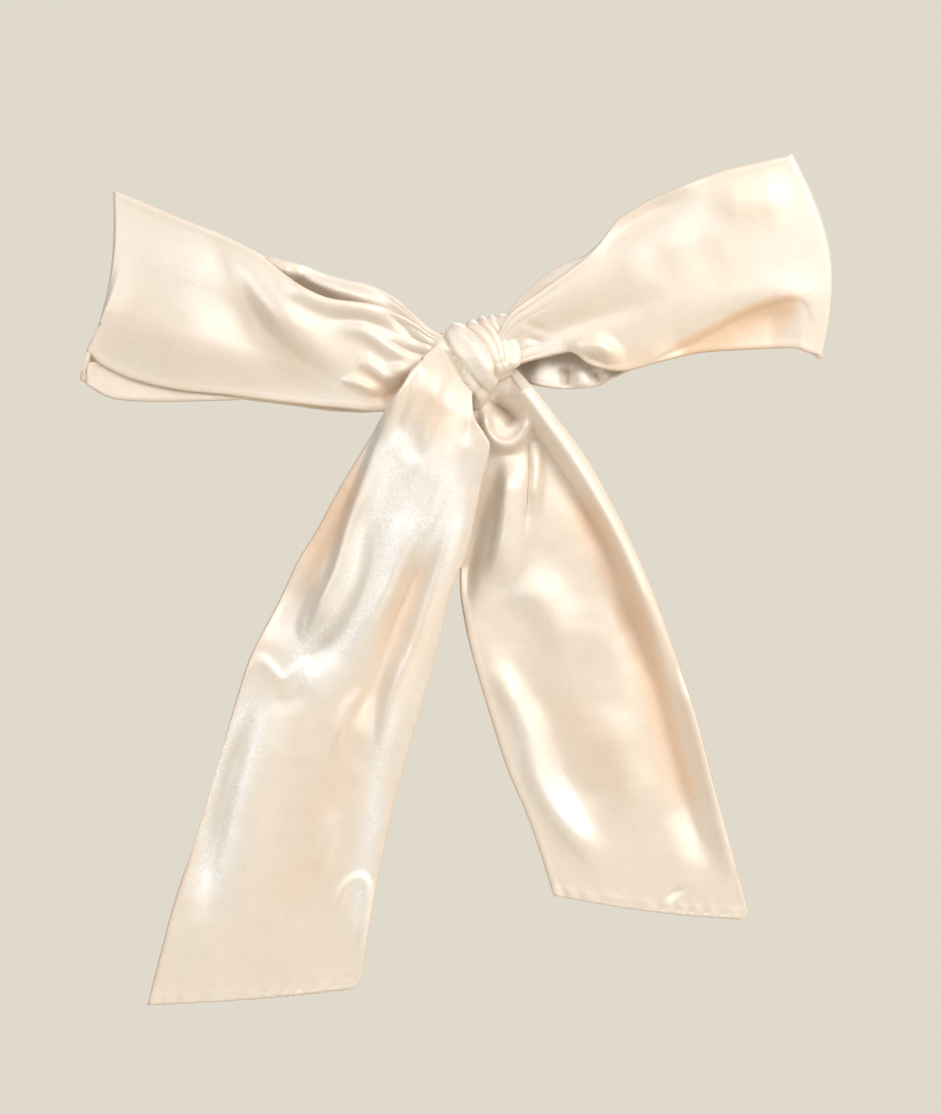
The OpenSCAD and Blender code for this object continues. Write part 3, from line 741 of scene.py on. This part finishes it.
def left_loop_inner(satin):
    """The sash's second layer, which slips out below the left loop's bottom edge."""
    top = [(-104.6, -1), (-92, 1), (-80, 0.6), (-68, 0.4), (-56, 0.4)]
    bottom = [(-104.6, -6.2), (-98.5, -9.6), (-90.4, -10.6), (-78, -10.6), (-66.5, -10.3),
              (-56, -9.6)]
    rows, columns = 90, 18
    u = np.linspace(0, 1, columns)
    x, z = between(curve(top, rows), curve(bottom, rows), u)
    y = BOW_Y + 0.2 - 0.3 * u[None] + 0.12 * crumple(x, z, 9.0, 5.5)
    # A faint warm painted shade on this layer.
    piece = cloth("left_loop_inner", in_space(x, y, z), SASH_THICKNESS, satin, painted_light=0.05)
    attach(piece, "left_loop")
    return piece


def right_loop(satin):
    front_top = [(5, 6), (8.5, 12.2), (17, 18.4), (23.7, 23.2), (28.5, 27.0), (31.9, 30.6),
                 (34.6, 34.3), (38, 37.8), (47.6, 43.1), (58.3, 47.6), (65.2, 50), (73.4, 51.9),
                 (83, 54.3)]
    front_bottom = [(5, -3), (12, -0.4), (22.3, 2.1), (25, 1.9), (29.8, -1.3), (38, -2.7),
                    (47.6, -0.3), (57.7, 2.1), (67.8, 2.9), (82.2, 3.5), (87, 2.4), (90.6, 1.2)]
    back_top = [(5, 7), (8.5, 13.6), (12.2, 17.8), (17.6, 22.5), (23.1, 25.7), (28.5, 28.0),
                (34, 33.2), (38, 36.8), (47.6, 42.4), (58, 47), (73.4, 51.2), (83, 54.3)]
    back_bottom = [(5, -3), (13.6, -6.1), (22.3, -7.4), (30, -6.9), (35.4, -4.6), (41, -1.8),
                   (50, 1.2), (60, 3), (80, 4.4), (90.6, 1.2)]
    front_folds = [
        # The rim over the warm hollow at the lower edge, and the hollow.
        fold([(38.5, -2.4), (50, 3), (61.6, 8.6), (68, 12.3), (75.7, 15.5), (82, 16.8), (87, 15.6),
              (89, 9)], 1.0, 5.0, 0.9, 0.25),
        fold([(46, 0), (58, 5.6), (67, 9.4), (76, 11.4), (86, 11)], -2.2, 4.0, 7.0, 0.22),
        fold([(22, 2.5), (27, 3.4), (32, 3.2), (35.6, 0), (36, -2)], 2.4, 2.0, 2.2, 0.3),
        fold([(27, 0.4), (31, -0.2), (34, -1.6)], -1.2, 1.6, 1.2, 0.3),
        fold([(31, 30), (36, 36), (43, 41.5), (52, 45.6), (62, 49)], 1.2, 2.4, 3.0, 0.4),
        fold([(30, 27), (36, 34), (45, 40), (58, 45)], -1.6, 4.0, 3.6, 0.4),
        fold([(9, 8), (20, 15), (34, 22), (52, 30), (68, 34)], 1.4, 8.0, 8.0, 0.3, hold=True),
        fold([(40, 22), (52, 27), (66, 32)], -0.8, 7.0, 7.0, 0.35),
        fold([(10, 4), (22, 8.5), (36, 13), (50, 19)], -1.4, 3.6, 3.6, 0.35, hold=True),
        fold([(11, 6.5), (15, 5), (18, 3.6)], -0.6, 1.0, 1.0, 0.4),
        fold([(10, 10), (14, 9.0), (19, 7.0)], -0.6, 1.2, 1.2, 0.4),
        fold([(60, 40), (72, 42), (84, 44)], 1.0, 5, 5, 0.35),
    ]
    back_folds = [
        fold([(22.4, -1), (23.6, -4), (23.0, -8)], 3.4, 1.4, 1.6, 0.3),
        fold([(26, -2), (27.5, -5), (28, -8)], -2.4, 2.0, 2.0, 0.3),
        fold([(31, -2), (32, -5), (34, -7)], 2.0, 1.6, 1.6, 0.3),
        # The pocket that opens below the front leaf, beside the knot.
        fold([(10, -5), (16, -6.4), (24, -7.4), (32, -6.6), (40, -2)], -6.0, 9.0, 3.4, 0.22),
        fold([(46, -1), (58, 5.0), (68, 8.8), (78, 10.4), (88, 10)], 2.6, 5.0, 8.0, 0.25),
        fold([(14, 4), (34, 12), (60, 22)], 2.0, 5, 5, 0.3),
        fold([(14, 14), (34, 28), (60, 38)], -1.6, 4, 4, 0.3),
    ]
    # Painted light: warm painted shade in the hollow under the rim and in softer patches.
    front_painted_light_strokes = [
        fold([(50, 3), (61.6, 8.6), (68, 12.3), (75.7, 15.4), (82, 16.6), (87, 15)],
             1.15, 0.8, 11.0, 0.12),
        painted_light_stroke([(26, 0), (40, 0), (58, 5)], 0.48, 4.0),
        painted_light_stroke([(60, 40), (76, 44), (84, 48)], 0.21, 8.0),
    ]
    # Painted sheen in the pocket below the front leaf.
    back_painted_light_strokes = [painted_light_stroke([(4, -3), (14, -5), (26, -6.4), (40, -3), (46, 0)], -0.3, 7.0)]
    gathers = {"count": 5, "shift": 0.6, "height": 0.6, "reach": 8.0}
    pinch = (0.45, 0.45)
    leaves = (leaf(front_top, front_bottom, 6.2, -1, pinch, front_folds, front_painted_light_strokes, gathers, 2.9),
              leaf(back_top, back_bottom, 6.2, 1, pinch, back_folds, back_painted_light_strokes, gathers, 6.1))
    return loop_band("right_loop_satin", "right_loop", leaves, satin)


# ---------------------------------------------------------------- knot

KNOT_ROWS, KNOT_COLUMNS = 201, 150
# How far the wrap stands in front of the bow's plane and behind it, and how far its top edge arches.
KNOT_FRONT, KNOT_BACK, KNOT_CROWN = 8.8, 8.3, 1.8


def knot_pleats():
    """The wrap's pleats run from its top edge down to the right, and close up at its lower right."""
    valleys = [
        ([(-10.0, 7.6), (-7.6, 2.4), (-3.8, -2.6), (0.2, -7.0), (2.6, -9.4)], -1.5, 0.7, 1.7),
        ([(-4.6, 10.4), (-1.6, 8.0), (1.0, 5.0), (3.2, 1.2), (4.6, -3.8), (4.2, -6.6)],
         -2.1, 0.8, 1.5),
        ([(-1.2, 11.6), (3.2, 6.9), (5.2, 2.4), (6.2, -3.4)], -1.8, 0.7, 1.1),
        ([(1.4, 12.4), (5.0, 8.0), (6.8, 3.5), (7.6, -2.6)], -1.5, 0.75, 0.9),
        ([(3.8, 12.6), (6.6, 8.0), (8.3, 3.5), (8.8, -1.2)], -1.1, 0.8, 0.8),
    ]
    rolls = [
        ([(-7.0, 9.4), (-3.6, 6.0), (-0.8, 2.2), (1.6, -2.4), (3.2, -6.4)], 0.7, 2.0, 1.6),
        ([(-10.6, 3.6), (-7.0, -0.6), (-4.2, -5.4), (-1.2, -9.4)], 0.5, 2.0, 2.0),
    ]
    puckers = [([(-9.6 + 1.3 * k, 1.4 - 1.9 * k), (-7.2 + 1.1 * k, 0.6 - 2.0 * k)], -0.6, 0.8, 0.9)
               for k in range(5)]
    return [fold(p, h, left, right, 0.12, hold=True, crease=h < -1.7)
            for p, h, left, right in valleys + rolls + puckers]


def knot_half(left, right, v):
    """The front or the back of the wrap between its left and right edges, with v = 0 at its top."""
    u = np.linspace(0, 1, KNOT_COLUMNS)
    x, z = between(left, right, u)
    return x, z + KNOT_CROWN * np.sin(math.pi * u)[None] * smooth((0.35 - v) / 0.35)[:, None]


def knot_band():
    """The wrap before it is pleated: its grid, and each row's share of the pleats, which fade out
    behind and are whole where the back meets the front."""
    front_left = [(-8.8, 7.6), (-12.4, 6.2), (-12.2, 3.2), (-9.6, 0.4), (-6.8, -3.4), (-4.8, -7.0),
                  (-2.6, -9.2), (-1.8, -12.0), (-0.6, -13.3)]
    front_right = [(6.8, 11.8), (7.8, 9.6), (8.8, 6.6), (10.4, 3.2), (10.6, -0.8), (6.9, -3.4),
                   (4.0, -6.8), (2.3, -9.4), (0.9, -12.2), (0.2, -13.3)]
    half = KNOT_ROWS // 2
    left, right = curve(front_left, half + 1), curve(front_right, half + 1)
    u = np.linspace(0, 1, KNOT_COLUMNS)[None]
    v = np.linspace(0, 1, half + 1)
    x, z = knot_half(left, right, v)
    dome = (np.sin(math.pi * v) ** 0.55)[:, None] * (1 - 0.50 * np.abs(2 * u - 1) ** 2.6)
    front = in_space(x, BOW_Y - KNOT_FRONT * dome, z)
    back_v = np.linspace(1, 0, KNOT_ROWS - half)
    turns = [0, 0.2, 0.8, 1]
    back_left = np.column_stack([np.interp(back_v, turns, [-8.8, -10, -9, -0.6]),
                                 np.interp(back_v, v, left[:, 1])])
    back_right = np.column_stack([np.interp(back_v, turns, [6.8, 10, 9, 0.2]),
                                  np.interp(back_v, v, right[:, 1])])
    x, z = knot_half(back_left, back_right, back_v)
    back = in_space(x, BOW_Y + KNOT_BACK * (np.sin(math.pi * back_v) ** 0.4)[:, None], z)
    from_edge = np.abs(np.linspace(1, -1, KNOT_ROWS - half))
    pleated = np.concatenate([np.ones(half + 1), smooth(1.5 * from_edge - 0.5)[1:]])
    return np.concatenate([front, back[1:]], axis=0), pleated


def knot(satin):
    """The wrap: a closed band round the gathered sash."""
    grid, pleated = knot_band()
    across, up = grid[..., 0], grid[..., 2] - BOW_Z
    pleats = relief(across, up, knot_pleats()) * pleated[:, None]
    pleats += 0.25 * crumple(across, up, 3.4, 9.3)
    n = normals_of(grid, True)
    outward = np.sign(np.sum(n * (grid - grid.mean(axis=(0, 1))), axis=-1).mean())
    grid = grid + outward * n * pleats[..., None]
    # Painted light: warm painted shade along the top edge, silver painted sheen lower down.
    painted_light_strokes = [painted_light_stroke([(-10, 8), (-2, 11), (4, 11)], 0.3, 3.0), painted_light_stroke([(-4, -2), (2, -6)], -0.4, 4)]
    painted_light = relief(across, up, painted_light_strokes)
    piece = cloth("knot_satin", grid, WRAP_THICKNESS, satin, closed=True, painted_light=painted_light)
    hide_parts("knot_wrap")
    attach(piece, "knot")
    return piece


CORE_LENGTH, CORE_DEPTH, CORE_HEIGHT, CORE_PLEATS = 17, 5.2, 6.0, 22


def gathered_core(satin):
    """The pinched sash inside the wrap: a bundle of fine pleats that run along the barrette."""
    angle = np.linspace(0, 2 * math.pi, 145)[:, None]
    u = np.linspace(0, 1, 24)[None]
    swell = 1.1 - 0.48 * np.abs(2 * u - 1) ** 3
    ripple = 0.35 * np.abs(np.sin(CORE_PLEATS / 2 * angle + 0.8 * np.sin(5 * u)))
    x = CORE_LENGTH * (u - 0.5) + 0 * angle
    y = BOW_Y - 0.5 + (CORE_DEPTH * swell + ripple) * np.cos(angle)
    z = 0.5 + (CORE_HEIGHT * swell + ripple) * np.sin(angle)
    piece = cloth("core_satin", in_space(x, y, z), WRAP_THICKNESS, satin, closed=True)
    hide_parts("gathered_core")
    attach(piece, "knot")
    return piece


# ---------------------------------------------------------------- corner tack

TACK_PLACE = Vector((90.2, BOW_Y, BOW_Z + 1.1))
TACK_RADIUS, TACK_LENGTH, TACK_TURNS = 0.75, 1.9, 5
TACK_THREAD, TACK_TAPER = 0.17, 0.35
POINTS_PER_TURN = 20


def corner_tack(thread):
    """The turns of thread that hold the rolled hem at the right loop's lower outer corner."""
    count = TACK_TURNS * POINTS_PER_TURN
    line = bpy.data.curves.new("tack_line", "CURVE")
    line.dimensions = "3D"
    line.bevel_depth = TACK_THREAD * MM
    line.bevel_resolution = 3
    line.use_fill_caps = True
    spline = line.splines.new("POLY")
    spline.points.add(count)
    for i, point in enumerate(spline.points):
        angle = 2 * math.pi * i / POINTS_PER_TURN
        share = 2 * i / count - 1
        radius = TACK_RADIUS * (1 - TACK_TAPER * share**2)
        turn = Vector((share * TACK_LENGTH / 2, radius * math.cos(angle), radius * math.sin(angle)))
        point.co = (*((TACK_PLACE + turn) * MM), 1)
    drawn = bpy.data.objects.new("tack_line", line)
    bpy.context.scene.collection.objects.link(drawn)
    made = drawn.evaluated_get(bpy.context.evaluated_depsgraph_get())
    piece = bpy.data.objects.new("corner_tack_thread", bpy.data.meshes.new_from_object(made))
    bpy.data.objects.remove(drawn)
    bpy.context.scene.collection.objects.link(piece)
    piece.data.materials.clear()
    piece.data.materials.append(thread)
    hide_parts("corner_tack")
    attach(piece, "right_loop")
    return piece


# ---------------------------------------------------------------- felt

FELT_VOXEL, FELT_FUZZ = 0.24, 0.10
FELT_CLUMP, FELT_FIBRE = 1.6, 0.5


def felt_pad(felt):
    """The felt cushion: cut square, its edges softened and its faces uneven with fibres."""
    node = frame["nodes"]["felt_pad"]
    piece = bpy.data.objects.new("felt_cushion", node.data.copy())
    piece.matrix_world = node.matrix_world
    bpy.context.scene.collection.objects.link(piece)
    remesh = piece.modifiers.new("even mesh", "REMESH")
    remesh.mode = "VOXEL"
    remesh.voxel_size = FELT_VOXEL * MM
    soften = piece.modifiers.new("soft edges", "SMOOTH")
    soften.iterations = 3
    made = piece.evaluated_get(bpy.context.evaluated_depsgraph_get())
    piece.data = bpy.data.meshes.new_from_object(made)
    piece.modifiers.clear()
    normals = [n.vector.copy() for n in piece.data.vertex_normals]
    for vertex, normal in zip(piece.data.vertices, normals):
        clump = noise.noise(vertex.co / (FELT_CLUMP * MM))
        fibre = noise.noise(vertex.co / (FELT_FIBRE * MM))
        vertex.co += normal * MM * FELT_FUZZ * (clump + 0.6 * fibre - 0.7)
    piece.data.polygons.foreach_set("use_smooth", [True] * len(piece.data.polygons))
    piece.data.materials.clear()
    piece.data.materials.append(felt)
    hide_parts("felt_pad")
    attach(piece, "knot")
    return piece


# ---------------------------------------------------------------- light and ground

KEY_POWER, SIDE_POWER, WINDOW_POWER, BACK_POWER = 9.4, 1.6, 3.4, 3.0
BACKDROP = (0.745, 0.701, 0.610)
SKY = (0.48, 0.475, 0.47)
GROUND = (0.15, 0.125, 0.10)
FLOOR_SIZE, FLOOR_DROP = 1.2, 0.32


def area_light(name, place, aim, size, power, color):
    data = bpy.data.lights.new(name, "AREA")
    data.shape = "RECTANGLE"
    data.size, data.size_y = size
    data.energy = power
    data.color = color
    light = bpy.data.objects.new(name, data)
    light.location = place
    light.rotation_euler = (Vector(aim) - Vector(place)).to_track_quat("-Z", "Y").to_euler()
    bpy.context.scene.collection.objects.link(light)


def make_light():
    """A plain backdrop for the eye, and a room that is pale above and dim below for the cloth."""
    world = bpy.data.worlds.new("studio")
    bpy.context.scene.world = world
    world.use_nodes = True
    tree = world.node_tree
    new, link = tree.nodes.new, tree.links.new
    place = new("ShaderNodeTexCoord")
    split = new("ShaderNodeSeparateXYZ")
    link(place.outputs["Generated"], split.inputs["Vector"])
    height = new("ShaderNodeValToRGB")
    height.color_ramp.elements[0].position = 0.30
    height.color_ramp.elements[0].color = (*GROUND, 1)
    height.color_ramp.elements[1].position = 0.85
    height.color_ramp.elements[1].color = (*SKY, 1)
    lift = new("ShaderNodeMapRange")
    lift.inputs["From Min"].default_value = -1
    link(split.outputs["Z"], lift.inputs["Value"])
    link(lift.outputs["Result"], height.inputs["Fac"])
    seen = new("ShaderNodeMix")
    seen.data_type = "RGBA"
    link(new("ShaderNodeLightPath").outputs["Is Camera Ray"], seen.inputs[0])
    link(height.outputs["Color"], seen.inputs[6])
    seen.inputs[7].default_value = (*BACKDROP, 1)
    link(seen.outputs[2], tree.nodes["Background"].inputs["Color"])
    bpy.context.scene.view_settings.view_transform = "Standard"
    middle = tuple(VIEW_CENTRE)
    area_light("key", (0.55, -0.75, 0.55), middle, (0.70, 0.70), KEY_POWER, (1.0, 0.98, 0.95))
    area_light("side", (0.85, -0.10, 0.0), middle, (0.15, 0.8), SIDE_POWER, (1.0, 0.96, 0.90))
    area_light("window", (-0.60, -0.75, 0.35), middle, (0.25, 0.8), WINDOW_POWER, (0.94, 0.97, 1.0))
    area_light("back", (0.2, 0.8, 0.5), middle, (0.5, 0.5), BACK_POWER, (1.0, 0.98, 0.95))


def make_floor():
    bpy.ops.mesh.primitive_plane_add(size=FLOOR_SIZE, location=(0, 0, -FLOOR_DROP))
    floor = bpy.context.object
    floor.name = "floor"
    m = Nodes("floor_paint")
    m.set(Base_Color=(*BACKDROP, 1), Roughness=0.9)
    floor.data.materials.append(m.material)


def dress_frame(thread, steel, spring_steel):
    """The thread and metal nodes keep their CAD shapes and take better materials."""
    finishes = {thread: ("gathering_thread", "closing_stitch_row", "mounting_stitches"),
                steel: ("barrette_base", "hinge_pin", "clasp_arm"),
                spring_steel: ("tension_spring", "catch_upper", "catch_lower")}
    for material, nodes in finishes.items():
        for node in nodes:
            for slot in frame["nodes"][node].material_slots:
                slot.material = material


make_camera()
make_light()
make_floor()
SATIN = satin_material("satin", body=(0.86, 0.755, 0.64), painted_shade_color=(0.85, 0.61, 0.42),
                       painted_sheen_color=(0.885, 0.845, 0.79), metallic=0.15, roughness=0.40)
THREAD = thread_material()
dress_frame(THREAD, metal_material("steel", (0.78, 0.76, 0.72), 0.30, 300.0),
            metal_material("spring_steel", (0.66, 0.66, 0.67), 0.36, 400.0))
left_loop(SATIN)
left_loop_inner(SATIN)
right_loop(SATIN)
left_tail(SATIN)
right_tail(SATIN)
knot(SATIN)
gathered_core(SATIN)
corner_tack(THREAD)
felt_pad(felt_material())
